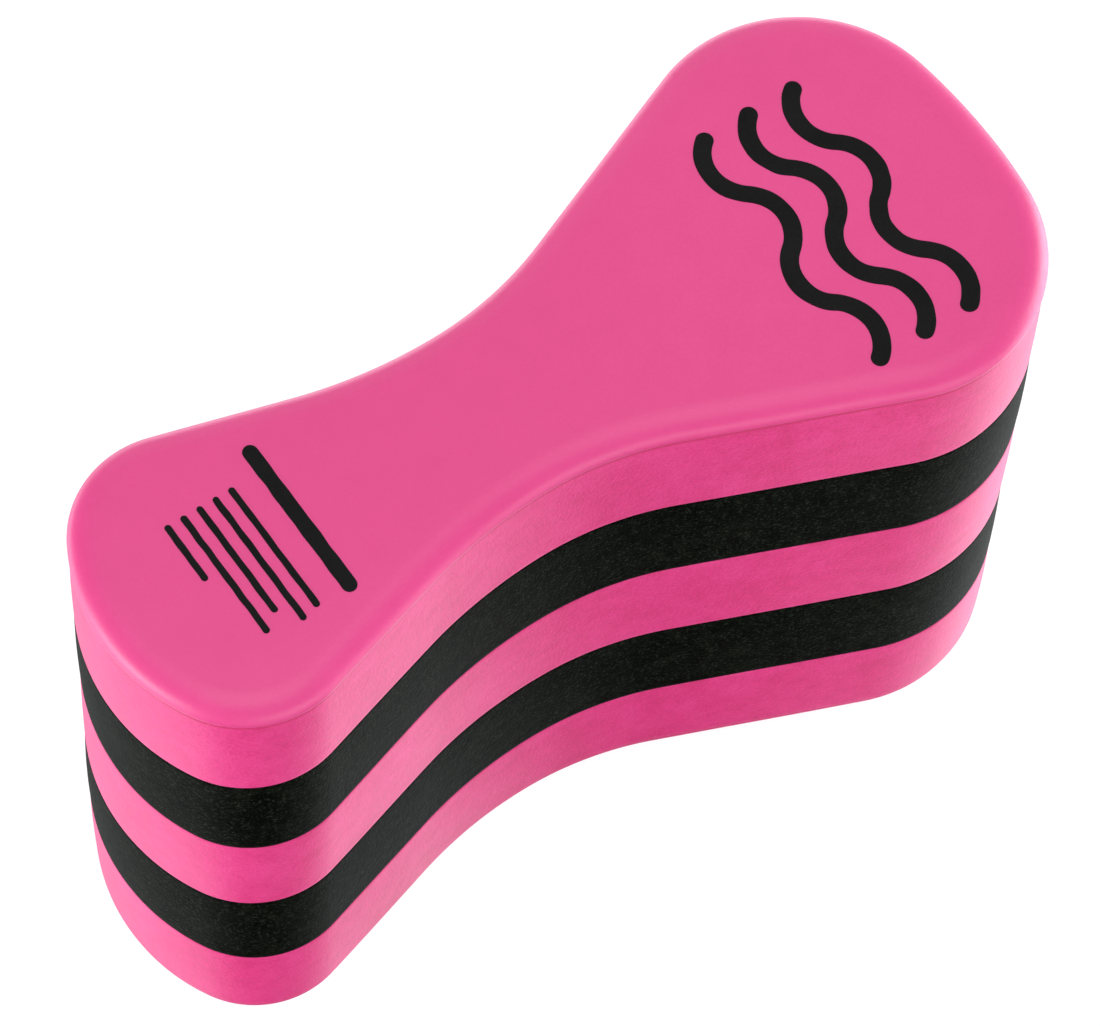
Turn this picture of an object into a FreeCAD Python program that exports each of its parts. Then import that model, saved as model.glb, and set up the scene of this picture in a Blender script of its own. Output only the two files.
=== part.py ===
import FreeCAD, Part
import math
import os
from FreeCAD import Vector
import Sketcher

# Pull buoy: a figure-of-eight block of closed-cell EVA foam that a swimmer holds
# between the thighs. Five foam sheets are cut to one outline and bonded into a stack.
# Frame: +X runs from the small lobe to the big lobe, +Y across the lobes, +Z up through
# the sheets. The origin is the centre of the bounding box on the bottom face.

doc = FreeCAD.newDocument("PullBuoy")

# ---------------------------------------------------------------- driving dimensions, mm
# alias, value, note
DIMENSIONS = [
    # outline, symmetric about the long axis
    ("big_end_x", 105.2, "end of the big lobe on +X"),
    ("big_cap_rad", 132.0, "radius of the broad end of the big lobe"),
    ("big_corner_rad", 33.4, "radius of the big lobe's rounded corners"),
    ("big_corner_y", 13.3, "centre of the big corner arc from the long axis"),
    ("small_end_x", 105.2, "end of the small lobe on -X"),
    ("small_cap_rad", 46.0, "radius of the small lobe's end"),
    ("small_corner_rad", 22.2, "radius of the small lobe's corners"),
    ("small_corner_y", 11.3, "centre of the small corner arc from the long axis"),
    ("waist_x", 15.6, "narrowest place, on -X"),
    ("waist_half", 20.2, "half width at the waist"),
    ("waist_big_rad", 78.4, "waist radius towards the big lobe"),
    ("waist_small_rad", 107.9, "waist radius towards the small lobe"),
    # stack
    ("core_sheet", 28.0, "thickness of each inner foam sheet"),
    ("skin_sheet", 32.5, "thickness of the top foam sheet with its moulded skin"),
    ("base_sheet", 30.5, "thickness of the bottom foam sheet with its moulded skin"),
    ("rim_height", 4.5, "height of the rounded rim on an outer sheet"),
    ("rim_step", 0.6, "step where the moulded rim meets the cut side wall"),
    ("rim_rad", 4.1, "rounding of the rim"),
    ("bond_film", 0.2, "thickness of the contact adhesive between two sheets"),
    ("bond_inset", 1.4, "distance of the adhesive's edge from the cut wall"),
    # printed ink on the top face
    ("ink_film", 0.12, "thickness of the screen-printed ink"),
    ("wave_x", 66.0, "centre of the three printed waves"),
    ("wave_y", -4.0, "middle of the waves' length"),
    ("wave_pitch", 11.0, "spacing of the waves along X"),
    ("wave_width", 3.8, "width of a wave line"),
    ("wave_step", 15.0, "distance between a crest and the next trough, along Y"),
    ("wave_rad", 9.5, "bend radius of a wave's centre line"),
    ("head_x", 60.0, "centre of the broad printed bar, on -X"),
    ("head_width", 3.2, "width of the broad bar"),
    ("head_long", 38.0, "length of the broad bar"),
    ("bar_x", 67.6, "centre of the first fine bar, on -X"),
    ("bar_pitch", 3.7, "spacing of the fine bars"),
    ("bar_width", 1.4, "width of a fine bar"),
    ("bar_end", 13.0, "where the fine bars begin, on +Y"),
    ("bar_long", 32.0, "length of the longest fine bar"),
]
sheet = doc.addObject("Spreadsheet::Sheet", "Dims")
for row, (alias, value, note) in enumerate(DIMENSIONS, start=1):
    sheet.set(f"A{row}", alias)
    sheet.set(f"B{row}", repr(value))
    sheet.setAlias(f"B{row}", alias)
    sheet.set(f"C{row}", note)
doc.recompute()

# Counts and proportions of the print
WAVE_BENDS = 4
BAR_SHARES = (0.97, 1.0, 0.86, 0.95, 0.45)    # length of each fine bar over bar_long
BAR_CORNER_SHARE = 0.3                        # corner radius of a bar over its width


def dim(name):
    return float(getattr(sheet, name))


def ex(text):
    """Turn 'big_end_x - rim_step' into an expression on the sheet."""
    return " ".join("Dims." + word if word[0].isalpha() else word for word in text.split())


def level(cores, films):
    """Height expression above the base sheet and this many core sheets and bond films."""
    return f"base_sheet + {cores} * core_sheet + {films} * bond_film"


def place(feature, height):
    feature.setExpression("Placement.Base.z", ex(height))


# ---------------------------------------------------------------- outline geometry
def polar(centre, radius, angle):
    return Vector(centre.x + radius * math.cos(angle), centre.y + radius * math.sin(angle), 0)


def flip(point):
    return Vector(point.x, -point.y, 0)


def arc(centre, radius, start, end):
    return Part.ArcOfCircle(Part.Circle(centre, Vector(0, 0, 1), radius), start, end)


def mirrored(curve):
    """The curve mirrored in the X axis, still running counter-clockwise if it is an arc."""
    if isinstance(curve, Part.LineSegment):
        return Part.LineSegment(flip(curve.EndPoint), flip(curve.StartPoint))
    turn = 2 * math.pi
    return arc(flip(curve.Center), curve.Radius,
               turn - curve.LastParameter, turn - curve.FirstParameter)


def flank_normal(corner, corner_rad, waist, waist_rad, side):
    """Direction of the normal of the straight flank that touches both arcs."""
    span = waist - corner
    return math.atan2(span.y, span.x) + side * math.acos((corner_rad + waist_rad) / span.Length)


def outline_curves(inset):
    """The closed outline, from the big cap through +Y to the small cap and back by -Y.
    An inset changes the radii only, so centres and angles come from the full outline."""
    big_cap, big_corner = dim("big_cap_rad"), dim("big_corner_rad")
    small_cap, small_corner = dim("small_cap_rad"), dim("small_corner_rad")
    big_waist, small_waist = dim("waist_big_rad"), dim("waist_small_rad")

    big_centre = Vector(dim("big_end_x") - big_cap, 0, 0)
    small_centre = Vector(small_cap - dim("small_end_x"), 0, 0)
    big_angle = math.asin(dim("big_corner_y") / (big_cap - big_corner))
    small_angle = math.pi - math.asin(dim("small_corner_y") / (small_cap - small_corner))
    big_corner_at = polar(big_centre, big_cap - big_corner, big_angle)
    small_corner_at = polar(small_centre, small_cap - small_corner, small_angle)
    big_waist_at = Vector(-dim("waist_x"), dim("waist_half") + big_waist, 0)
    small_waist_at = Vector(-dim("waist_x"), dim("waist_half") + small_waist, 0)
    big_normal = flank_normal(big_corner_at, big_corner, big_waist_at, big_waist, -1)
    small_normal = flank_normal(small_corner_at, small_corner, small_waist_at, small_waist, 1)

    # Convex arcs shrink by the inset and the waist arcs grow by it.
    big_cap, big_corner = big_cap - inset, big_corner - inset
    small_cap, small_corner = small_cap - inset, small_corner - inset
    big_waist, small_waist = big_waist + inset, small_waist + inset
    down = 1.5 * math.pi
    upper = [
        arc(big_corner_at, big_corner, big_angle, big_normal),
        Part.LineSegment(polar(big_corner_at, big_corner, big_normal),
                         polar(big_waist_at, big_waist, big_normal + math.pi)),
        arc(big_waist_at, big_waist, down, big_normal + math.pi),
        arc(small_waist_at, small_waist, small_normal + math.pi, down),
        Part.LineSegment(polar(small_waist_at, small_waist, small_normal + math.pi),
                         polar(small_corner_at, small_corner, small_normal)),
        arc(small_corner_at, small_corner, small_normal, small_angle),
    ]
    return (
        [arc(big_centre, big_cap, -big_angle, big_angle)]
        + upper
        + [arc(small_centre, small_cap, small_angle, 2 * math.pi - small_angle)]
        + [mirrored(curve) for curve in reversed(upper)]
    )


# ---------------------------------------------------------------- outline sketch
# Places of the curves in the sketch; LOW marks the -Y half.
(BIG_CAP, BIG_CORNER, BIG_FLANK, BIG_WAIST, SMALL_WAIST, SMALL_FLANK, SMALL_CORNER,
 SMALL_CAP, LOW_SMALL_CORNER, LOW_SMALL_FLANK, LOW_SMALL_WAIST, LOW_BIG_WAIST,
 LOW_BIG_FLANK, LOW_BIG_CORNER) = range(14)
WAIST_ARCS = (BIG_WAIST, SMALL_WAIST, LOW_SMALL_WAIST, LOW_BIG_WAIST)
START, END, CENTRE = 1, 2, 3    # point codes on a curve
X_AXIS = -1                     # its START is the origin
ORIGIN = (X_AXIS, START)


def driven(sketch, kind, refs, expression, value):
    """Add a driving dimension and bind it to the sheet."""
    index = sketch.addConstraint(Sketcher.Constraint(kind, *refs, value))
    sketch.setExpression(f"Constraints[{index}]", ex(expression))


def join_curves(sketch):
    """Join every curve tangentially to the next. Waist arcs are walked from end to start."""
    count = sketch.GeometryCount
    for curve in range(count):
        following = (curve + 1) % count
        leave = START if curve in WAIST_ARCS else END
        enter = END if following in WAIST_ARCS else START
        sketch.addConstraint(Sketcher.Constraint("Tangent", curve, leave, following, enter))


def outline(body, name, inset=None, height=None):
    """Sketch of the outline, every size driven. inset names a dimension that moves
    the whole outline inwards; height is an expression for its level in the body."""
    sketch = body.newObject("Sketcher::SketchObject", name)
    base = next(item for item in body.Origin.OriginFeatures if item.Role == "XY_Plane")
    sketch.AttachmentSupport = (base, [""])
    sketch.MapMode = "FlatFace"
    if height:
        sketch.setExpression("AttachmentOffset.Base.z", ex(height))

    amount = dim(inset) if inset else 0.0
    for curve in outline_curves(amount):
        sketch.addGeometry(curve, False)
    join_curves(sketch)
    for cap in (BIG_CAP, SMALL_CAP):
        sketch.addConstraint(Sketcher.Constraint("PointOnObject", cap, CENTRE, X_AXIS))
    for upper, lower in (
        (BIG_CORNER, LOW_BIG_CORNER), (SMALL_CORNER, LOW_SMALL_CORNER),
        (BIG_WAIST, LOW_BIG_WAIST), (SMALL_WAIST, LOW_SMALL_WAIST),
    ):
        sketch.addConstraint(Sketcher.Constraint("Equal", upper, lower))
        sketch.addConstraint(Sketcher.Constraint("Vertical", upper, CENTRE, lower, CENTRE))
    sketch.addConstraint(
        Sketcher.Constraint("Vertical", BIG_WAIST, CENTRE, SMALL_WAIST, CENTRE))

    def driven_inset(kind, refs, alias, sign=-1):
        """A dimension that grows (sign 1) or shrinks (sign -1) by the inset."""
        change = f" {'+' if sign > 0 else '-'} {inset}" if inset else ""
        driven(sketch, kind, refs, alias + change, dim(alias) + sign * amount)

    for curve, alias, sign in (
        (BIG_CAP, "big_cap_rad", -1), (BIG_CORNER, "big_corner_rad", -1),
        (BIG_WAIST, "waist_big_rad", 1), (SMALL_WAIST, "waist_small_rad", 1),
        (SMALL_CORNER, "small_corner_rad", -1), (SMALL_CAP, "small_cap_rad", -1),
    ):
        driven_inset("Radius", (curve,), alias, sign)
    driven(sketch, "DistanceX", (BIG_CAP, CENTRE, *ORIGIN),
           "big_cap_rad - big_end_x", dim("big_cap_rad") - dim("big_end_x"))
    driven(sketch, "DistanceX", (SMALL_CAP, CENTRE, *ORIGIN),
           "small_end_x - small_cap_rad", dim("small_end_x") - dim("small_cap_rad"))
    for corner, alias in ((BIG_CORNER, "big_corner_y"), (SMALL_CORNER, "small_corner_y")):
        driven(sketch, "DistanceY", (*ORIGIN, corner, CENTRE), alias, dim(alias))
    driven(sketch, "DistanceX", (BIG_WAIST, CENTRE, *ORIGIN), "waist_x", dim("waist_x"))
    driven_inset("DistanceY", (*ORIGIN, BIG_WAIST, START), "waist_half")
    driven_inset("DistanceY", (LOW_BIG_WAIST, END, *ORIGIN), "waist_half")
    return sketch


def pad(body, sketch, name, length):
    feature = body.newObject("PartDesign::Pad", name)
    feature.Profile = sketch
    feature.setExpression("Length", ex(length))
    body.Tip = feature
    return feature


# ---------------------------------------------------------------- foam sheets and adhesive
def flat_layer(label, thickness, height, inset=None):
    """A square-edged layer: an inner foam sheet or a bond film."""
    body = doc.addObject("PartDesign::Body", label)
    pad(body, outline(body, label + "_outline", inset), label + "_pad", thickness)
    place(body, height)
    return body


def skin_sheet(label, thickness):
    """An outer sheet: square cut wall, then a small step and the rounded moulded rim."""
    body = doc.addObject("PartDesign::Body", label)
    wall_height = thickness + " - rim_height"
    pad(body, outline(body, label + "_outline"), label + "_wall", wall_height)
    doc.recompute()
    wall_volume = body.Shape.Volume
    rim_outline = outline(body, label + "_rim_outline", "rim_step", wall_height)
    rim = pad(body, rim_outline, label + "_rim", "rim_height")
    doc.recompute()
    if rim.Shape.Volume <= wall_volume:
        raise RuntimeError("the rim added nothing")

    top = rim.Shape.BoundBox.ZMax
    top_edges = [
        f"Edge{number}" for number, edge in enumerate(rim.Shape.Edges, start=1)
        if abs(edge.BoundBox.ZMin - top) < 1e-4 and abs(edge.BoundBox.ZMax - top) < 1e-4
    ]
    rounding = body.newObject("PartDesign::Fillet", label + "_rounding")
    rounding.Base = (rim, top_edges)
    rounding.setExpression("Radius", ex("rim_rad"))
    body.Tip = rounding
    return body


top_layer = skin_sheet("top_layer", "skin_sheet")
place(top_layer, level(3, 4))
core_layers = [
    flat_layer("upper_stripe", "core_sheet", level(2, 3)),
    flat_layer("middle_layer", "core_sheet", level(1, 2)),
    flat_layer("lower_stripe", "core_sheet", level(0, 1)),
]
# The bottom sheet is turned over about the long axis, so that its rim faces down.
bottom_layer = skin_sheet("bottom_layer", "base_sheet")
bottom_layer.Placement = FreeCAD.Placement(
    Vector(0, 0, 0), FreeCAD.Rotation(Vector(1, 0, 0), 180))
place(bottom_layer, "base_sheet")

# A bond film lies between every two sheets.
bonds = [
    flat_layer(f"bond_film_{below + 1}", "bond_film", level(below, below), "bond_inset")
    for below in range(4)
]


# ---------------------------------------------------------------- printed ink
def ink_feature(label, solids):
    """Ink solids, laid on the top face."""
    feature = doc.addObject("Part::Feature", label)
    feature.Shape = Part.Compound(solids)
    place(feature, level(3, 4) + " + skin_sheet")
    return feature


def wave_edges(centre_x, edge_side):
    """Tangent arcs along the +X (edge_side 1) or -X (-1) edge of a wave, from -Y to +Y."""
    bend_rad, step = dim("wave_rad"), dim("wave_step")
    half_angle = math.asin(step / 2 / bend_rad)
    edges = []
    for bend in range(WAVE_BENDS):
        bulge = 1 if bend % 2 == 0 else -1    # bends swing to +X and -X in turn
        centre = Vector(centre_x - bulge * bend_rad * math.cos(half_angle),
                        dim("wave_y") + (bend - (WAVE_BENDS - 1) / 2) * step, 0)
        middle = 0.0 if bulge > 0 else math.pi
        radius = bend_rad + bulge * edge_side * dim("wave_width") / 2
        points = [polar(centre, radius, middle + turn * bulge * half_angle)
                  for turn in (-1, 0, 1)]
        edges.append(Part.Arc(*points).toShape())
    return edges


def round_end(right, left, outward):
    """Half circle that closes a wave towards +Y (outward 1) or -Y (-1)."""
    across = left - right
    along = Vector(across.y, -across.x, 0)
    along.normalize()
    tip = (right + left) * 0.5 + along * (outward * dim("wave_width") / 2)
    return Part.Arc(right, tip, left).toShape()


def wave_solid(centre_x):
    """One wavy line of constant width that runs along Y, with round ends."""
    right, left = wave_edges(centre_x, 1), wave_edges(centre_x, -1)
    starts = [edges[0].valueAt(edges[0].FirstParameter) for edges in (right, left)]
    ends = [edges[-1].valueAt(edges[-1].LastParameter) for edges in (right, left)]
    edges = right + left + [round_end(*starts, -1), round_end(*ends, 1)]
    wire = Part.Wire(Part.__sortEdges__(edges))
    return Part.Face(wire).extrude(Vector(0, 0, dim("ink_film")))


def bar_solid(centre_x, start_y, end_y, width):
    """A bar along Y with rounded corners."""
    film = dim("ink_film")
    box = Part.makeBox(width, end_y - start_y, film, Vector(centre_x - width / 2, start_y, 0))
    upright = [
        edge for edge in box.Edges
        if abs(edge.BoundBox.ZLength - film) < 1e-6
        and edge.BoundBox.XLength < 1e-6 and edge.BoundBox.YLength < 1e-6
    ]
    return box.makeFillet(width * BAR_CORNER_SHARE, upright)


def bar_solids():
    """One broad bar, then the fine ones towards the small end."""
    half_head, end = dim("head_long") / 2, dim("bar_end")
    bars = [bar_solid(-dim("head_x"), -half_head, half_head, dim("head_width"))]
    for place_in_row, share in enumerate(BAR_SHARES):
        centre_x = -dim("bar_x") - place_in_row * dim("bar_pitch")
        bars.append(bar_solid(centre_x, end - dim("bar_long") * share, end, dim("bar_width")))
    return bars


# Three waves on the big lobe, bars on the small lobe
printed_waves = ink_feature("printed_waves", [
    wave_solid(dim("wave_x") + offset * dim("wave_pitch")) for offset in (-1, 0, 1)
])
printed_bars = ink_feature("printed_bars", bar_solids())

doc.recompute()

# ---------------------------------------------------------------- check and export
parts = [top_layer, *core_layers, bottom_layer, *bonds, printed_waves, printed_bars]
for obj in doc.Objects:
    if "Invalid" in obj.State or "Error" in obj.State:
        raise RuntimeError(f"{obj.Label} failed: {obj.State}")
for obj in doc.Objects:
    if obj.TypeId == "Sketcher::SketchObject" and obj.solve() != 0:
        raise RuntimeError(f"sketch {obj.Label} does not solve")
for obj in parts:
    if obj.Shape.isNull() or not obj.Shape.isValid():
        raise RuntimeError("bad shape: " + obj.Label)

os.makedirs("parts", exist_ok=True)
for obj in parts:
    obj.Shape.exportStep(os.path.join("parts", obj.Label + ".step"))
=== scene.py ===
"""A laminated foam block with a figure-of-eight outline.

Three pink layers and two black stripes are stacked along Z and rest on the floor at z = 0.
The length runs along X, with the large lobe at +X and the small one at -X. Black waves and
bars are printed on the top face. Shapes are worked out in millimetres, and meshes, lights and
shaders are in metres.
"""
import math

import bmesh
import bpy
import numpy as np
from mathutils import Matrix, Vector


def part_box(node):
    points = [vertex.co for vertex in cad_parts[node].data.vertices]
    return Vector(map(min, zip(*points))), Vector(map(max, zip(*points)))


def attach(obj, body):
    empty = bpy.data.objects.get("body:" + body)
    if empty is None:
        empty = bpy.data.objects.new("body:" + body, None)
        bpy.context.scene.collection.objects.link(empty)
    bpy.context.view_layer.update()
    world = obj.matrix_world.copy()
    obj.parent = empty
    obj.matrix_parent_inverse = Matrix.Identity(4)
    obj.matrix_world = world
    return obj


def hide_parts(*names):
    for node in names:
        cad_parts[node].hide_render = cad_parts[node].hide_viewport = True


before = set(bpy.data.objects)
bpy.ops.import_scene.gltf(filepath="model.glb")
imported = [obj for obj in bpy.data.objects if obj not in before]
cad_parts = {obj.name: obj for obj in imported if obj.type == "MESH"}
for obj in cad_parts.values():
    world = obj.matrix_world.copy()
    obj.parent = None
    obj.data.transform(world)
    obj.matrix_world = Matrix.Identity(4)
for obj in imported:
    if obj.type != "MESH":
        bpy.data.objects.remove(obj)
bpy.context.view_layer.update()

MM = 0.001

# ------------------------------------------------------------------ outline
# Each lobe has a broad cap arc that reaches end from the origin, a corner arc centred
# corner_y off the X axis, and a hollow arc of radius waist down to the narrowest place.
BIG = dict(end=105.2, cap=132.0, corner=33.4, corner_y=13.3, waist=78.4)
SMALL = dict(end=105.2, cap=46.0, corner=22.2, corner_y=11.3, waist=107.9)
WAIST_X = -15.6
WAIST_HALF_WIDTH = 20.2
OUTLINE_STEP = 0.25
HALF = 300            # cells along half the outline, about 0.9 mm long


def polar(centre, radius, angle):
    return centre + radius * np.array([math.cos(angle), math.sin(angle)])


def arc(centre, radius, start, end, side):
    """Points and normals along an arc; side is 1 where it bulges, -1 where it is hollow."""
    count = max(4, int(abs(end - start) * radius / OUTLINE_STEP))
    angle = np.linspace(start, end, count, endpoint=False)
    ray = np.c_[np.cos(angle), np.sin(angle)]
    return centre + radius * ray, side * ray


def straight(start, end, angle):
    """Points along a straight flank whose normal has the given angle."""
    count = max(2, int(np.linalg.norm(end - start) / OUTLINE_STEP))
    part = np.linspace(0, 1, count, endpoint=False)[:, None]
    normal = [math.cos(angle), math.sin(angle)]
    return start + (end - start) * part, np.tile(normal, (count, 1))


def lobe(shape, side):
    """Centres of the cap, corner and waist arcs, the tilt of the corner centre seen from the
    cap centre, and the angle of the flank's normal. side is the sign of the lobe's X."""
    reach = shape["cap"] - shape["corner"]
    cap = np.array([side * (shape["end"] - shape["cap"]), 0.0])
    tilt = math.asin(shape["corner_y"] / reach)
    corner = cap + reach * np.array([side * math.cos(tilt), math.sin(tilt)])
    waist = np.array([WAIST_X, WAIST_HALF_WIDTH + shape["waist"]])
    away = waist - corner
    spread = math.acos((shape["corner"] + shape["waist"]) / math.hypot(*away))
    return cap, corner, waist, tilt, math.atan2(away[1], away[0]) - side * spread


def half_outline():
    """Dense points, unit normals and path length of the +Y half, from +X tip to -X tip."""
    cap1, corner1, waist1, tilt1, flank1 = lobe(BIG, 1)
    cap2, corner2, waist2, tilt2, flank2 = lobe(SMALL, -1)
    turn = math.pi
    pieces = [
        arc(cap1, BIG["cap"], 0.0, tilt1, 1),
        arc(corner1, BIG["corner"], tilt1, flank1, 1),
        straight(polar(corner1, BIG["corner"], flank1),
                 polar(waist1, BIG["waist"], flank1 + turn), flank1),
        arc(waist1, BIG["waist"], flank1 + turn, 1.5 * turn, -1),
        arc(waist2, SMALL["waist"], 1.5 * turn, flank2 + turn, -1),
        straight(polar(waist2, SMALL["waist"], flank2 + turn),
                 polar(corner2, SMALL["corner"], flank2), flank2),
        arc(corner2, SMALL["corner"], flank2, turn - tilt2, 1),
        arc(cap2, SMALL["cap"], turn - tilt2, turn, 1),
        (np.array([[-SMALL["end"], 0.0]]), np.array([[-1.0, 0.0]])),
    ]
    points = np.concatenate([piece[0] for piece in pieces])
    normals = np.concatenate([piece[1] for piece in pieces])
    path = np.r_[0, np.cumsum(np.hypot(*np.diff(points, axis=0).T))]
    return points, normals, path


def closed_outline():
    """Evenly spaced points and normals: HALF + 1 on the +Y half, then the mirrored ones."""
    points, normals, path = half_outline()
    place = np.linspace(0, path[-1], HALF + 1)
    even = np.c_[np.interp(place, path, points[:, 0]), np.interp(place, path, points[:, 1])]
    angle = np.interp(place, path, np.unwrap(np.arctan2(normals[:, 1], normals[:, 0])))
    outward = np.c_[np.cos(angle), np.sin(angle)]
    even[0, 1] = even[-1, 1] = 0.0
    outward[0], outward[-1] = (1.0, 0.0), (-1.0, 0.0)
    mirror = [1, -1]
    return (np.r_[even, even[1:-1][::-1] * mirror],
            np.r_[outward, outward[1:-1][::-1] * mirror])


OUTLINE, OUTWARD = closed_outline()
AROUND = len(OUTLINE)


# ------------------------------------------------------------------ surface waves
def wave_noise(seed, count, low, high):
    """A repeatable sum of sines; low and high bound their rates in radians per mm."""
    rng = np.random.default_rng(seed)
    rates = [rng.uniform(low, high, count) * rng.choice([-1, 1], count) for _ in range(3)]
    phase = rng.uniform(0, 2 * math.pi, count)
    height = rng.uniform(0.4, 1.0, count)
    height = height / np.sqrt((height ** 2).sum() / 2)

    def waves(x, y, z):
        total = np.zeros(x.shape)
        for i in range(count):
            angle = rates[0][i] * x + rates[1][i] * y + rates[2][i] * z + phase[i]
            total = total + height[i] * np.sin(angle)
        return total

    return waves


WALL_WAVE = wave_noise(seed=11, count=9, low=0.02, high=0.10)
WALL_FINE = wave_noise(seed=12, count=14, low=0.20, high=0.75)
SKIN_WAVE = wave_noise(seed=21, count=10, low=0.015, high=0.07)
SKIN_FINE = wave_noise(seed=22, count=12, low=0.12, high=0.35)

SKIN_SAG = 0.16             # how much lower the skin lies at the rim
SKIN_SAG_REACH = 13.0       # distance inside the outline where the sag ends


def edge_fade(x, y, reach):
    """0 at the rim, 1 further in than reach, with a smooth step between."""
    distance = np.full(len(x), 1e9)
    for px, py in OUTLINE[::4]:
        distance = np.minimum(distance, np.hypot(x - px, y - py))
    part = np.clip(distance / reach, 0, 1)
    return part * part * (3 - 2 * part)


def skin_level(x, y):
    """How far the moulded skin lies outside its nominal level."""
    fade = edge_fade(x, y, SKIN_SAG_REACH)
    waves = 0.045 * SKIN_WAVE(x, y, 0.0) + 0.006 * SKIN_FINE(x, y, 0.0)
    return -SKIN_SAG * (1 - fade) + (0.3 + 0.7 * fade) * waves


def skin_shift(x, y, side):
    """Change in Z on the upper (1) or lower (-1) skin; nothing dips under the lower face."""
    level = skin_level(x, y)
    if side < 0:
        level = np.minimum(level, 0.0)
    return side * level


# ------------------------------------------------------------------ edge profiles
# Rows of (offset from the outline, height in from the face, is skin), from face to wall.
RIM_DEPTH = 6.2
RIM_HEIGHT = 4.2
CREASE_BOTTOM = 0.40        # below the rim
SKIN_END = 0.47             # below the rim; skin material stops here
# how the wall comes out of the crease: (share of the crease depth, height past the rim)
CREASE_OUT = ((0.92, 0.54), (0.62, 0.68), (0.27, 0.90), (0.10, 1.2), (0.03, 1.6), (0.0, 2.1))


def round_edge(depth, height, steps):
    """A quarter round from the face to the wall, as (offset, height) rows."""
    angles = [0.5 * math.pi * i / steps for i in range(steps + 1)]
    return [(-depth * (1 - math.sin(a)), height * (1 - math.cos(a))) for a in angles]


def rim(stand, crease):
    """A rounded rim that ends stand mm proud of the wall, then a crease that lies crease mm
    inside the wall, then the cut wall."""
    rows = [(offset + stand, height, True)
            for offset, height in round_edge(RIM_DEPTH, RIM_HEIGHT, 18)]
    rows.append((stand + 0.35 * (-crease - stand), RIM_HEIGHT + 0.20, True))
    rows.append((-crease, RIM_HEIGHT + CREASE_BOTTOM, True))
    rows += [(-share * crease, RIM_HEIGHT + height, False) for share, height in CREASE_OUT]
    return rows


CUT_EDGE = [(offset, height, False) for offset, height in round_edge(0.18, 0.18, 3)]
TOP_RIM = rim(stand=0.30, crease=0.42)
BOTTOM_RIM = rim(stand=-0.45, crease=0.74)

# ------------------------------------------------------------------ foam sheets
SKIN_CROSS = 44             # cells across a skin face
CUT_CROSS = 8               # cells across a cut face
BANDS = (0.25, 0.6, 1.1, 1.8, 2.7, 3.8, 5.1, 6.6, 8.3)    # loops inside the rim, mm from it
WALL_STEP = 1.15
WALL_BULGE = 0.16           # at mid height
WALL_INSET = 0.10
SKIN_REACH = 5.5            # height over which the rim follows the waves of its face


def closed_mesh(name, verts, faces):
    """A smooth-shaded watertight object from vertices in mm."""
    mesh = bpy.data.meshes.new(name)
    mesh.from_pydata((np.asarray(verts) * MM).tolist(), [], faces)
    mesh.update()
    bm = bmesh.new()
    bm.from_mesh(mesh)
    bmesh.ops.remove_doubles(bm, verts=bm.verts, dist=1e-6)
    bmesh.ops.recalc_face_normals(bm, faces=bm.faces)
    open_edges = sum(1 for edge in bm.edges if len(edge.link_faces) != 2)
    if open_edges:
        raise RuntimeError("%s has %d open edges" % (name, open_edges))
    bm.to_mesh(mesh)
    bm.free()
    obj = bpy.data.objects.new(name, mesh)
    bpy.context.scene.collection.objects.link(obj)
    for polygon in mesh.polygons:
        polygon.use_smooth = True
    return obj


def sheet_rings(bottom, top, low_edge, high_edge):
    """(offset, z, skin side or 0, bulge) of every ring, from lower to upper face."""
    rings = []
    if low_edge[0][2]:
        rings += [(low_edge[0][0] - band, bottom, -1, 0.0) for band in reversed(BANDS)]
    rings += [(offset, bottom + height, -1 if skin else 0, 0.0)
              for offset, height, skin in low_edge]
    wall_low = bottom + low_edge[-1][1]
    wall_high = top - high_edge[-1][1]
    steps = max(4, int(round((wall_high - wall_low) / WALL_STEP)))
    for i in range(1, steps):
        part = i / steps
        z = wall_low + (wall_high - wall_low) * part
        rings.append((0.0, z, 0, math.sin(math.pi * part)))
    rings += [(offset, top - height, 1 if skin else 0, 0.0)
              for offset, height, skin in reversed(high_edge)]
    if high_edge[0][2]:
        rings += [(high_edge[0][0] - band, top, 1, 0.0) for band in BANDS]
    return rings


def ring_points(offset, z, skin, bulge, face_z):
    x, y = OUTLINE.T
    wobble = 0.09 * WALL_WAVE(x, y, z) + 0.006 * WALL_FINE(x * 0.4, y * 0.4, z * 2.0)
    out = offset + WALL_BULGE * bulge + wobble - WALL_INSET
    flat = OUTLINE + OUTWARD * out[:, None]
    heights = np.full(AROUND, z)
    if skin:
        follow = max(0.0, 1.0 - abs(face_z - z) / SKIN_REACH)
        heights = heights + follow * skin_shift(flat[:, 0], flat[:, 1], skin)
    return np.c_[flat, heights]


def fill_face(verts, faces, first, face_z, side, skinned):
    """Fills the ring that starts at vertex first with lines across from +Y to -Y.
    Adds to faces and returns the longer vertex array."""
    cross = SKIN_CROSS if skinned else CUT_CROSS
    grid = np.zeros((HALF + 1, cross + 1), int)
    grid[0, :] = first
    grid[HALF, :] = first + HALF
    inner = []
    for i in range(1, HALF):
        grid[i, 0], grid[i, -1] = first + i, first + AROUND - i
        start, end = verts[grid[i, 0]], verts[grid[i, -1]]
        for k in range(1, cross):
            grid[i, k] = len(verts) + len(inner)
            inner.append(start + (end - start) * (k / cross))
    inner = np.array(inner)
    if skinned:
        inner[:, 2] = face_z + skin_shift(inner[:, 0], inner[:, 1], side)
    for i in range(HALF):
        for k in range(cross):
            quad = (grid[i, k], grid[i + 1, k], grid[i + 1, k + 1], grid[i, k + 1])
            corners = [int(v) for v in dict.fromkeys(quad)]    # triangles at the two tips
            faces.append(tuple(corners if side > 0 else corners[::-1]))
    return np.r_[verts, inner]


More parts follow.
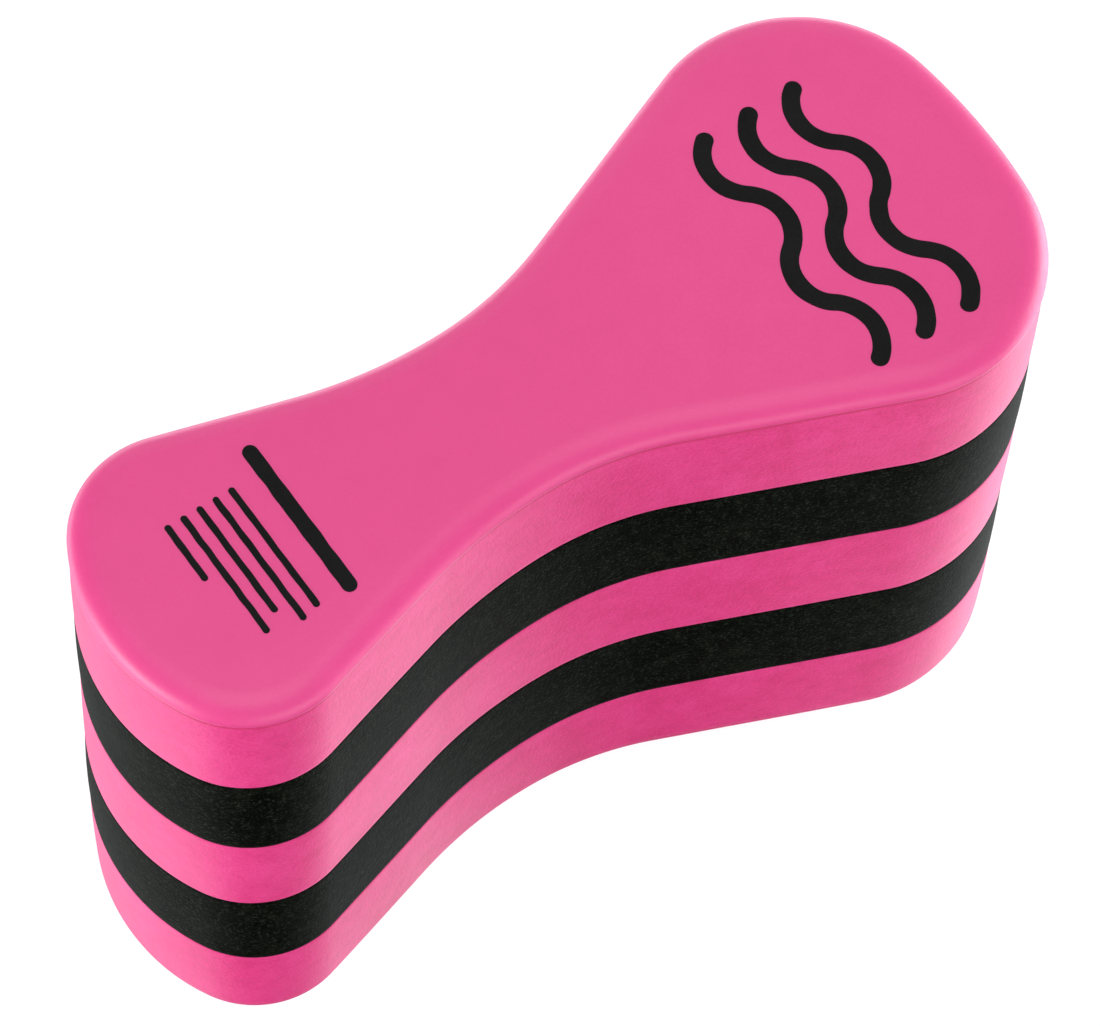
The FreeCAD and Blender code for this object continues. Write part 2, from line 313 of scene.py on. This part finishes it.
def foam_sheet(name, bottom, top, low_edge, high_edge):
    rings = sheet_rings(bottom, top, low_edge, high_edge)
    verts = np.concatenate([
        ring_points(offset, z, skin, bulge, top if skin > 0 else bottom)
        for offset, z, skin, bulge in rings])
    faces = []
    last = (len(rings) - 1) * AROUND
    for a in range(0, last, AROUND):
        b = a + AROUND
        for i in range(AROUND):
            j = (i + 1) % AROUND
            faces.append((a + i, a + j, b + j, b + i))
    verts = fill_face(verts, faces, last, top, 1, high_edge[0][2])
    verts = fill_face(verts, faces, 0, bottom, -1, low_edge[0][2])
    return closed_mesh(name, verts, faces)


LEVELS = {}           # bottom and top of each sheet
for node_name in ("bottom_layer", "lower_stripe", "middle_layer", "upper_stripe", "top_layer"):
    box_low, box_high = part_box(node_name)
    LEVELS[node_name] = (box_low.z / MM, box_high.z / MM)
BLOCK_BOTTOM = LEVELS["bottom_layer"][0]
BLOCK_TOP = LEVELS["top_layer"][1]

sheets = {}
for node_name, (sheet_low, sheet_high) in LEVELS.items():
    sheets[node_name] = foam_sheet(
        node_name + "_foam", sheet_low, sheet_high,
        low_edge=BOTTOM_RIM if node_name == "bottom_layer" else CUT_EDGE,
        high_edge=TOP_RIM if node_name == "top_layer" else CUT_EDGE)

# ------------------------------------------------------------------ printed ink
# Thin raised bands that lie on the moulded skin of the top face.
INK_THICKNESS = 0.12
INK_SUNK = 0.05             # how far the underside lies in the foam
INK_END_HEIGHT = 0.7        # share of the thickness at the two ends
INK_STEP = 0.5              # between points of a straight bar
# cross-section: place across in half widths, and share of the thickness there
INK_ACROSS = np.array([-1.0, -0.94, -0.8, -0.5, 0.0, 0.5, 0.8, 0.94, 1.0])
INK_LIFT = np.array([0.62, 0.90, 1.0, 1.0, 1.0, 1.0, 1.0, 0.90, 0.62])

# pitch parts the waves along X; each has bends of radius bend, one per step along Y
WAVES = dict(x=66.0, y=-4.0, pitch=11.0, width=3.8, bends=4, step=15.0, bend=9.5)
WIDE_BAR = dict(x=-60.0, low=-19.0, high=19.0, width=3.2)
THIN_BARS = dict(x=-67.6, pitch=3.7, high=13.0, length=32.0, width=1.4)
THIN_BAR_LENGTHS = (0.97, 1.0, 0.86, 0.95, 0.45)      # shares of the full length


def wave_line(x0, y0, bends, step, radius):
    """Centre line of a wave along Y made of equal arcs that bend to alternate sides."""
    half = math.asin(step / 2 / radius)
    lift = radius * math.cos(half)
    angle = np.linspace(-half, half, 38)
    arcs = []
    for i in range(bends):
        y = y0 + (i - (bends - 1) / 2) * step
        side = 1 if i % 2 == 0 else -1
        points = np.c_[x0 - side * lift + side * radius * np.cos(angle),
                       y + radius * np.sin(angle)]
        arcs.append(points if i == 0 else points[1:])
    return np.concatenate(arcs)


def bar_line(x, low, high, width):
    count = max(6, int((high - low - width) / INK_STEP))
    return np.c_[np.full(count, x), np.linspace(low + width / 2, high - width / 2, count)]


def ink_band(line, width, seed):
    """Closed band around a centre line, with round ends and slightly uneven long edges."""
    along = np.gradient(line, axis=0)
    along /= np.linalg.norm(along, axis=1)[:, None]
    side = np.c_[-along[:, 1], along[:, 0]]
    uneven = wave_noise(seed, count=6, low=0.3, high=1.3)
    half = width / 2
    turns = np.linspace(0, math.pi / 2, 7)[:-1]
    # stations: (point, side vector, half width)
    stations = [(line[0] - along[0] * half * math.cos(t), side[0], half * math.sin(t))
                for t in turns]
    stations += [(point, across, half) for point, across in zip(line, side)]
    stations += [(line[-1] + along[-1] * half * math.cos(t), side[-1], half * math.sin(t))
                 for t in turns[::-1]]
    rows = []
    for point, across, reach in stations:
        row = point + across * (INK_ACROSS * max(reach, 0.02))[:, None]
        shift = 0.035 * uneven(row[:, 0], row[:, 1], 0.0) * np.abs(INK_ACROSS)
        rows.append(row + across * shift[:, None])
    flat = np.concatenate(rows)
    long, wide = len(rows), len(INK_ACROSS)
    ends = np.ones(long)
    ends[0] = ends[-1] = INK_END_HEIGHT
    level = BLOCK_TOP + skin_level(flat[:, 0], flat[:, 1])
    upper = level + (INK_THICKNESS * INK_LIFT[None, :] * ends[:, None]).ravel()
    verts = np.r_[np.c_[flat, upper], np.c_[flat, level - INK_SUNK]]
    under = long * wide                           # first vertex of the underside
    faces = []
    for i in range(long - 1):
        for j in range(wide - 1):
            a0 = i * wide + j
            b0 = a0 + wide
            faces.append((a0, b0, b0 + 1, a0 + 1))
            faces.append((under + a0, under + a0 + 1, under + b0 + 1, under + b0))
    border = list(range(wide))
    border += [i * wide + wide - 1 for i in range(1, long)]
    border += [(long - 1) * wide + j for j in range(wide - 2, -1, -1)]
    border += [i * wide for i in range(long - 2, 0, -1)]
    for a, b in zip(border, border[1:] + border[:1]):
        faces.append((a, b, under + b, under + a))
    return verts, faces


def ink_object(name, bands):
    verts, faces, base = [], [], 0
    for band_verts, band_faces in bands:
        verts.append(band_verts)
        faces += [tuple(i + base for i in face) for face in band_faces]
        base += len(band_verts)
    return closed_mesh(name, np.concatenate(verts), faces)


def printed_waves():
    bands = []
    for k in (-1, 0, 1):
        line = wave_line(WAVES["x"] + k * WAVES["pitch"], WAVES["y"],
                         WAVES["bends"], WAVES["step"], WAVES["bend"])
        bands.append(ink_band(line, WAVES["width"], seed=71 + k))
    return ink_object("waves_ink", bands)


def printed_bars():
    bands = [ink_band(bar_line(**WIDE_BAR), WIDE_BAR["width"], seed=81)]
    high, width = THIN_BARS["high"], THIN_BARS["width"]
    for k, share in enumerate(THIN_BAR_LENGTHS):
        line = bar_line(THIN_BARS["x"] - THIN_BARS["pitch"] * k,
                        high - THIN_BARS["length"] * share, high, width)
        bands.append(ink_band(line, width, seed=82 + k))
    return ink_object("bars_ink", bands)


waves_ink = printed_waves()
bars_ink = printed_bars()


# ------------------------------------------------------------------ node helpers
def fill(tree, target, inputs):
    """Links each input that is given a socket and sets the others to the value."""
    for key, value in inputs.items():
        if isinstance(value, bpy.types.NodeSocket):
            tree.links.new(value, target.inputs[key])
        else:
            target.inputs[key].default_value = value


def node(tree, kind, inputs=None, **settings):
    made = tree.nodes.new("ShaderNode" + kind)
    for key, value in settings.items():
        setattr(made, key, value)
    fill(tree, made, inputs or {})
    return made


def blank_material(name):
    material = bpy.data.materials.new(name)
    material.use_nodes = True
    tree = material.node_tree
    tree.nodes.clear()
    return material, tree, node(tree, "OutputMaterial")


def principled_material(name):
    material, tree, output = blank_material(name)
    surface = node(tree, "BsdfPrincipled")
    fill(tree, output, {0: surface.outputs[0]})
    return material, tree, surface


def object_coords(tree, scale=(1, 1, 1)):
    source = node(tree, "TexCoord").outputs["Object"]
    return node(tree, "Mapping", {"Scale": scale, "Vector": source}).outputs[0]


def noise(tree, vector, scale, detail=2.0, rough=0.5):
    return node(tree, "TexNoise", {"Scale": scale, "Detail": detail, "Roughness": rough,
                                   "Vector": vector}).outputs[0]


def cells(tree, vector, scale):
    inputs = {"Scale": scale, "Vector": vector}
    return node(tree, "TexVoronoi", inputs, feature="F1").outputs["Distance"]


def ramp(tree, factor, stops):
    """Colour ramp with stops of (position, colour)."""
    made = node(tree, "ValToRGB", {0: factor})
    elements = made.color_ramp.elements
    while len(elements) > 1:
        elements.remove(elements[-1])
    elements[0].position, elements[0].color = stops[0]
    for position, colour in stops[1:]:
        elements.new(position).color = colour
    return made.outputs[0]


def maths(tree, operation, a, b=None, clamp=False):
    inputs = {0: a} if b is None else {0: a, 1: b}
    return node(tree, "Math", inputs, operation=operation, use_clamp=clamp).outputs[0]


def weighted_sum(tree, *parts):
    """Sum of (socket, weight) pairs."""
    total = None
    for value, weight in parts:
        part = maths(tree, "MULTIPLY", value, weight)
        total = part if total is None else maths(tree, "ADD", total, part)
    return total


def mix(tree, factor, a, b):
    inputs = {0: factor, 6: a, 7: b}
    return node(tree, "Mix", inputs, data_type="RGBA", blend_type="MIX").outputs[2]


def smooth_step(tree, value, low, high, to_low=0.0, to_high=1.0):
    inputs = {"Value": value, "From Min": low, "From Max": high,
              "To Min": to_low, "To Max": to_high}
    return node(tree, "MapRange", inputs, interpolation_type="SMOOTHSTEP").outputs[0]


def bump(tree, height, distance, strength, under=None):
    inputs = {"Distance": distance, "Strength": strength, "Height": height}
    if under is not None:
        inputs["Normal"] = under
    return node(tree, "Bump", inputs).outputs[0]


def vary_roughness(tree, texture, swing, middle):
    """Roughness that follows a texture over swing, centred on middle."""
    return maths(tree, "ADD", maths(tree, "MULTIPLY", texture, swing), middle - swing / 2)


def rgb(r, g, b):
    return (r, g, b, 1.0)


WHITE = rgb(1, 1, 1)
BLACK = rgb(0, 0, 0)

# ------------------------------------------------------------------ foam materials
# Painted shade: the creases under the two rims get a darker, more saturated pink than the foam
# around them.
CREASE_SHADE_COLOUR = rgb(0.56, 0.011, 0.12)
SPECK_COLOUR = rgb(0.034, 0.044, 0.030)
CREASE_SHADE_CORE = 0.00012       # full crease colour this far above and below its level, in m
# (level in mm, half height of the painted shade in m) of the shaded creases under the two rims
SHADED_CREASES = ((BLOCK_TOP - RIM_HEIGHT - 0.85, 0.00105),
           (BLOCK_BOTTOM + RIM_HEIGHT + 0.42, 0.00070))


def crease_shade_mask(tree):
    """1 where painted shade goes in the narrow crease next to each rounded rim, 0 elsewhere,
    from the height.
    """
    position = node(tree, "NewGeometry").outputs["Position"]
    height = node(tree, "SeparateXYZ", {0: position}).outputs[2]
    total = None
    for level, reach in SHADED_CREASES:
        away = maths(tree, "ABSOLUTE", maths(tree, "SUBTRACT", height, level * MM))
        mask = smooth_step(tree, away, CREASE_SHADE_CORE, reach, to_low=1.0, to_high=0.0)
        total = mask if total is None else maths(tree, "ADD", total, mask, clamp=True)
    return total


def cut_foam(name, dark, base, light, rough, specular, speck, relief, tint):
    """The cut wall of closed-cell foam: fine open cells, faint level lines and slow blotches.
    speck is the size of the pale specks in cell units, with 0 for none and painted shade
    in the creases instead. relief scales the bumps."""
    material, tree, surface = principled_material(name)
    even = object_coords(tree)
    grain_share = 0.60 if speck else 0.48         # the rest of 0.75 goes to the blotches
    lines = noise(tree, object_coords(tree, (60, 60, 1500)), 1.0, detail=3.0, rough=0.6)
    grain = noise(tree, even, 1500.0, detail=3.0, rough=0.7)
    pores = cells(tree, even, 1300.0)
    blotch = noise(tree, even, 55.0, detail=3.0, rough=0.6)
    mottle = noise(tree, even, 260.0, detail=2.0, rough=0.6)
    tone = weighted_sum(tree, (grain, grain_share), (lines, 0.03),
                        (blotch, 0.75 - grain_share), (mottle, 0.22))
    colour = ramp(tree, tone, [(0.40, dark), (0.5, base), (0.61, light)])
    if speck:
        dots = ramp(tree, pores, [(0.0, WHITE), (speck, BLACK)])
        patches = noise(tree, even, 900.0, detail=1.0)
        keep = ramp(tree, patches, [(0.42, BLACK), (0.60, WHITE)])
        amount = maths(tree, "MULTIPLY", maths(tree, "MULTIPLY", dots, keep), 0.85)
        colour = mix(tree, amount, colour, SPECK_COLOUR)
    else:
        # painted shade: a darker, more saturated pink in the creases under the rims
        colour = mix(tree, crease_shade_mask(tree), colour, CREASE_SHADE_COLOUR)
    height = weighted_sum(tree, (grain, 0.60), (lines, 0.04), (mottle, 0.35))
    grain_bump = bump(tree, height, distance=0.00016 * relief, strength=0.8)
    fill(tree, surface, {
        "Base Color": colour,
        "Roughness": vary_roughness(tree, grain, swing=0.18, middle=rough),
        "Specular IOR Level": specular,
        "Sheen Weight": 0.0,
        "Sheen Roughness": 0.45,
        "Specular Tint": tint,
        "Normal": bump(tree, pores, distance=0.00010 * relief, strength=0.6,
                       under=grain_bump),
    })
    return material


def skin_specular(tree, face, grazing, rim_level):
    """The flat faces go from face to grazing at a low look; the rounded rims are even."""
    geometry = node(tree, "NewGeometry").outputs
    normal_z = node(tree, "SeparateXYZ", {0: geometry["Normal"]}).outputs[2]
    facing = node(tree, "VectorMath", {0: geometry["Incoming"], 1: geometry["Normal"]},
                  operation="DOT_PRODUCT").outputs["Value"]
    flat = smooth_step(tree, maths(tree, "ABSOLUTE", normal_z), 0.96, 0.995)
    graze = smooth_step(tree, facing, 0.50, 0.16)
    level = maths(tree, "SUBTRACT", face, maths(tree, "MULTIPLY", graze, face - grazing))
    on_face = maths(tree, "MULTIPLY", flat, level)
    on_rim = maths(tree, "MULTIPLY", maths(tree, "SUBTRACT", 1.0, flat), rim_level)
    return maths(tree, "ADD", on_face, on_rim)


def skin_foam(name, dark, base, light, rough, specular, rim_specular):
    """The moulded skin: smooth satin, a very fine grain, slow tone changes and painted shade
    in the rim creases.
    """
    material, tree, surface = principled_material(name)
    even = object_coords(tree)
    slow = noise(tree, even, 18.0)
    middle = noise(tree, even, 160.0, detail=3.0, rough=0.55)
    fine = noise(tree, even, 1400.0)
    tone = weighted_sum(tree, (slow, 0.45), (middle, 0.25), (fine, 0.30))
    colour = ramp(tree, tone, [(0.34, dark), (0.5, base), (0.68, light)])
    fill(tree, surface, {
        # painted shade in the crease under the rim
        "Base Color": mix(tree, crease_shade_mask(tree), colour, CREASE_SHADE_COLOUR),
        "Roughness": vary_roughness(tree, middle, swing=0.10, middle=rough),
        "Specular IOR Level": skin_specular(tree, face=specular, grazing=0.04,
                                            rim_level=rim_specular),
        "Sheen Weight": 0.03,
        "Sheen Roughness": 0.5,
        "Normal": bump(tree, fine, distance=0.00005, strength=0.5),
    })
    return material


PINK_CUT = cut_foam(
    "eva_pink_cut",
    dark=rgb(0.62, 0.013, 0.155), base=rgb(0.70, 0.021, 0.196), light=rgb(0.76, 0.038, 0.240),
    rough=0.46, specular=0.55, speck=0.0, relief=0.75, tint=WHITE)
PINK_SKIN = skin_foam(
    "eva_pink_skin",
    dark=rgb(0.655, 0.020, 0.190), base=rgb(0.685, 0.024, 0.204), light=rgb(0.71, 0.031, 0.22),
    rough=0.40, specular=0.78, rim_specular=0.80)
BLACK_CUT = cut_foam(
    "eva_black_cut",
    dark=rgb(0.0004, 0.0006, 0.0004), base=rgb(0.0016, 0.0022, 0.0013),
    light=rgb(0.0078, 0.0098, 0.0062),
    rough=0.52, specular=0.015, speck=0.46, relief=1.0, tint=rgb(0.80, 0.93, 0.58))


# ------------------------------------------------------------------ adhesive and ink
def adhesive_material():
    material, tree, surface = principled_material("contact_adhesive")
    grain = noise(tree, object_coords(tree), 300.0, detail=3.0, rough=0.6)
    fill(tree, surface, {
        "Base Color": ramp(tree, grain, [(0.35, rgb(0.02, 0.006, 0.010)),
                                         (0.7, rgb(0.05, 0.016, 0.025))]),
        "Roughness": vary_roughness(tree, grain, swing=0.2, middle=0.55),
        "Normal": bump(tree, grain, distance=0.00005, strength=0.5),
    })
    return material


def ink_material():
    material, tree, surface = principled_material("screen_print_ink")
    even = object_coords(tree)
    fine = noise(tree, even, 1500.0)
    slow = noise(tree, even, 90.0)
    tone = weighted_sum(tree, (fine, 0.5), (slow, 0.5))
    fill(tree, surface, {
        "Base Color": ramp(tree, tone, [(0.35, rgb(0.0015, 0.0016, 0.0015)),
                                        (0.65, rgb(0.005, 0.0054, 0.005))]),
        "Roughness": vary_roughness(tree, fine, swing=0.2, middle=0.48),
        "Specular IOR Level": 0.10,
        "Normal": bump(tree, fine, distance=0.00004, strength=0.6),
    })
    return material


ADHESIVE = adhesive_material()
INK = ink_material()


# ------------------------------------------------------------------ materials onto pieces
def hand_over(obj, node_name):
    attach(obj, "root")
    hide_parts(node_name)


def paint_pink(obj, node_name):
    """Cut foam all over, with skin on the rimmed face of the top and bottom layers."""
    obj.data.materials.append(PINK_CUT)
    obj.data.materials.append(PINK_SKIN)
    for polygon in obj.data.polygons:
        z = polygon.center.z / MM
        depth = {"top_layer": BLOCK_TOP - z, "bottom_layer": z - BLOCK_BOTTOM}.get(node_name)
        if depth is not None and depth < RIM_HEIGHT + SKIN_END:
            polygon.material_index = 1


for node_name, sheet in sheets.items():
    if "stripe" in node_name:
        sheet.data.materials.append(BLACK_CUT)
        hand_over(sheet, node_name)
    else:
        paint_pink(sheet, node_name)
        hand_over(sheet, node_name)

for k in (1, 2, 3, 4):
    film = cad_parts["bond_film_%d" % k]
    film.data.materials.clear()
    film.data.materials.append(ADHESIVE)

for print_ink, node_name in ((waves_ink, "printed_waves"), (bars_ink, "printed_bars")):
    print_ink.data.materials.append(INK)
    hand_over(print_ink, node_name)

# ------------------------------------------------------------------ floor
# What the object mirrors of the floor: brighter to the left and right than in front.
# name, azimuth of the mirrored ray from +X towards +Y and half width in degrees, strength
FLOOR_SHINE = (("left", 150.0, 60.0, 1.45),
               ("right", -14.0, 39.5, 2.1),
               ("front", -98.0, 42.0, 0.10),
               ("back", 75.0, 50.0, 0.75))
SHINE_CORE = 0.3            # share of the half width at full strength
SHINE_PAST = 0.5            # added on the floor under the large lobe and beyond
SHINE_PAST_X = (0.015, 0.085)                     # where that starts and is full, in m
SHINE_FLAT = 1.9            # gain for flat rays
SHINE_RIM = 0.6             # added for flat rays
FLAT_RISE = (0.72, 0.30)    # Z of the ray direction where flat starts and is full
SHINE_COLOUR = rgb(0.95, 1.0, 1.02)
FLOOR_GLOW = 1.15           # emission that the camera sees
GLOW_SHARE = 0.80           # of that against the shaded floor
FLOOR_BACK = 0.92           # albedo for diffuse light
FLOOR_Z = -0.0003
CONTACT_GAP = 0.0009        # rays shorter than this pass through the floor


def mirrored_strength(tree, geometry):
    """Brightness of the floor for mirrored rays."""
    level = node(tree, "VectorMath", {0: geometry["Incoming"], 1: (-1.0, -1.0, 0.0)},
                 operation="MULTIPLY").outputs[0]
    heading = node(tree, "VectorMath", {0: level}, operation="NORMALIZE").outputs[0]
    total = None
    for name, azimuth, half, strength in FLOOR_SHINE:
        angle = math.radians(azimuth)
        toward = (math.cos(angle), math.sin(angle), 0.0)
        match = node(tree, "VectorMath", {0: heading, 1: toward},
                     operation="DOT_PRODUCT").outputs["Value"]
        shine = smooth_step(tree, match, math.cos(math.radians(half)),
                            math.cos(math.radians(half * SHINE_CORE)), to_high=strength)
        shine.node.name = "shine_" + name
        total = shine if total is None else maths(tree, "ADD", total, shine)
    place_x = node(tree, "SeparateXYZ", {0: geometry["Position"]}).outputs[0]
    past = smooth_step(tree, place_x, *SHINE_PAST_X, to_high=SHINE_PAST)
    total = maths(tree, "ADD", total, past)
    # flat rays, which the rounded rims mirror, meet a brighter floor
    rise = node(tree, "SeparateXYZ", {0: geometry["Incoming"]}).outputs[2]
    flat = smooth_step(tree, rise, *FLAT_RISE)
    gain = maths(tree, "ADD", maths(tree, "MULTIPLY", flat, SHINE_FLAT - 1.0), 1.0)
    total = maths(tree, "MULTIPLY", total, gain)
    return maths(tree, "ADD", total, maths(tree, "MULTIPLY", flat, SHINE_RIM))


def mix_shader(tree, factor, first, second):
    return node(tree, "MixShader", {0: factor, 1: first, 2: second}).outputs[0]


def floor_material():
    """Nearly white to the camera, mirrored as a bright table, plain white to other rays."""
    material, tree, output = blank_material("pale_floor")
    path = node(tree, "LightPath").outputs
    geometry = node(tree, "NewGeometry").outputs
    mottle = noise(tree, object_coords(tree), 3.0)
    pale = ramp(tree, mottle, [(0.3, rgb(0.88, 0.88, 0.885)), (0.7, rgb(0.90, 0.90, 0.90))])
    shaded = node(tree, "BsdfDiffuse", {0: pale}).outputs[0]
    glow = node(tree, "Emission", {0: WHITE, 1: FLOOR_GLOW}).outputs[0]
    seen = mix_shader(tree, GLOW_SHARE, shaded, glow)
    strength = mirrored_strength(tree, geometry)
    shine = node(tree, "Emission", {0: SHINE_COLOUR, 1: strength}).outputs[0]
    back = node(tree, "BsdfDiffuse", {0: rgb(FLOOR_BACK, FLOOR_BACK, FLOOR_BACK)}).outputs[0]
    unseen = mix_shader(tree, path["Is Glossy Ray"], back, shine)
    solid = mix_shader(tree, path["Is Camera Ray"], unseen, seen)
    # clear from below, and clear to short rays so that light reaches the resting face
    close = maths(tree, "LESS_THAN", path["Ray Length"], CONTACT_GAP)
    not_camera = maths(tree, "SUBTRACT", 1.0, path["Is Camera Ray"])
    passing = maths(tree, "MULTIPLY", close, not_camera)
    clear_part = maths(tree, "MAXIMUM", geometry["Backfacing"], passing)
    clear = node(tree, "BsdfTransparent").outputs[0]
    fill(tree, output, {0: mix_shader(tree, clear_part, solid, clear)})
    return material


def build_floor():
    bpy.ops.mesh.primitive_plane_add(size=12.0, location=(0, 0, FLOOR_Z))
    floor = bpy.context.object
    floor.name = "floor"
    floor.data.materials.append(floor_material())


build_floor()

# ------------------------------------------------------------------ lights and world
CENTRE = Vector((0.0, 0.0, 0.09))     # what every light points at
# name, azimuth and elevation in degrees, distance and (width, height) in m, power in W
LIGHTS = (("soft_left", 170.0, 8.0, 1.25, (0.95, 0.44), 7.8),
          ("soft_right", -12.0, 9.0, 1.25, (0.80, 0.46), 7.2),
          ("soft_front", -92.0, 11.0, 1.30, (1.30, 0.45), 3.2),
          ("soft_back", 60.0, 38.0, 1.40, (1.30, 0.80), 1.5),
          ("soft_top", 235.0, 86.0, 1.50, (1.20, 1.20), 5.0))
WORLD_LIGHT = 0.76          # strength as a light
WORLD_SEEN = 1.0            # strength as the camera sees it


def around(azimuth, elevation, distance):
    a, e = math.radians(azimuth), math.radians(elevation)
    toward = Vector((math.cos(e) * math.cos(a), math.cos(e) * math.sin(a), math.sin(e)))
    return CENTRE + toward * distance


def area_light(name, place, size, power):
    data = bpy.data.lights.new(name, "AREA")
    data.shape = "RECTANGLE"
    data.size, data.size_y = size
    data.energy = power
    light = bpy.data.objects.new(name, data)
    light.location = place
    light.rotation_euler = (CENTRE - place).to_track_quat("-Z", "Y").to_euler()
    bpy.context.scene.collection.objects.link(light)


def build_world():
    world = bpy.data.worlds.new("studio")
    world.use_nodes = True
    tree = world.node_tree
    seen = node(tree, "LightPath").outputs["Is Camera Ray"]
    strength = node(tree, "MapRange", {"Value": seen, "To Min": WORLD_LIGHT,
                                       "To Max": WORLD_SEEN}).outputs[0]
    fill(tree, tree.nodes["Background"], {0: WHITE, 1: strength})
    bpy.context.scene.world = world


for name, azimuth, elevation, distance, size, power in LIGHTS:
    area_light(name, around(azimuth, elevation, distance), size, power)
build_world()

# ------------------------------------------------------------------ camera and view
CAMERA_PLACE = (-0.33479, -0.42779, 1.12739)
# the camera's own X, Y and Z axes: right, up and backwards
CAMERA_AXES = ((0.821425, -0.569455, 0.031333),
               (0.493513, 0.737268, 0.461390),
               (-0.285841, -0.363534, 0.886644))


def build_camera():
    data = bpy.data.cameras.new("camera")
    data.sensor_fit = "HORIZONTAL"
    data.sensor_width = 36.0
    data.lens = 186.0414545
    data.clip_start, data.clip_end = 0.05, 50.0
    camera = bpy.data.objects.new("camera", data)
    pose = Matrix(CAMERA_AXES).transposed().to_4x4()
    pose.translation = Vector(CAMERA_PLACE)
    camera.matrix_world = pose
    bpy.context.scene.collection.objects.link(camera)
    bpy.context.scene.camera = camera


build_camera()

view = bpy.context.scene.view_settings
view.view_transform = "Standard"
view.look = "None"
view.exposure = 0.0
view.gamma = 1.0
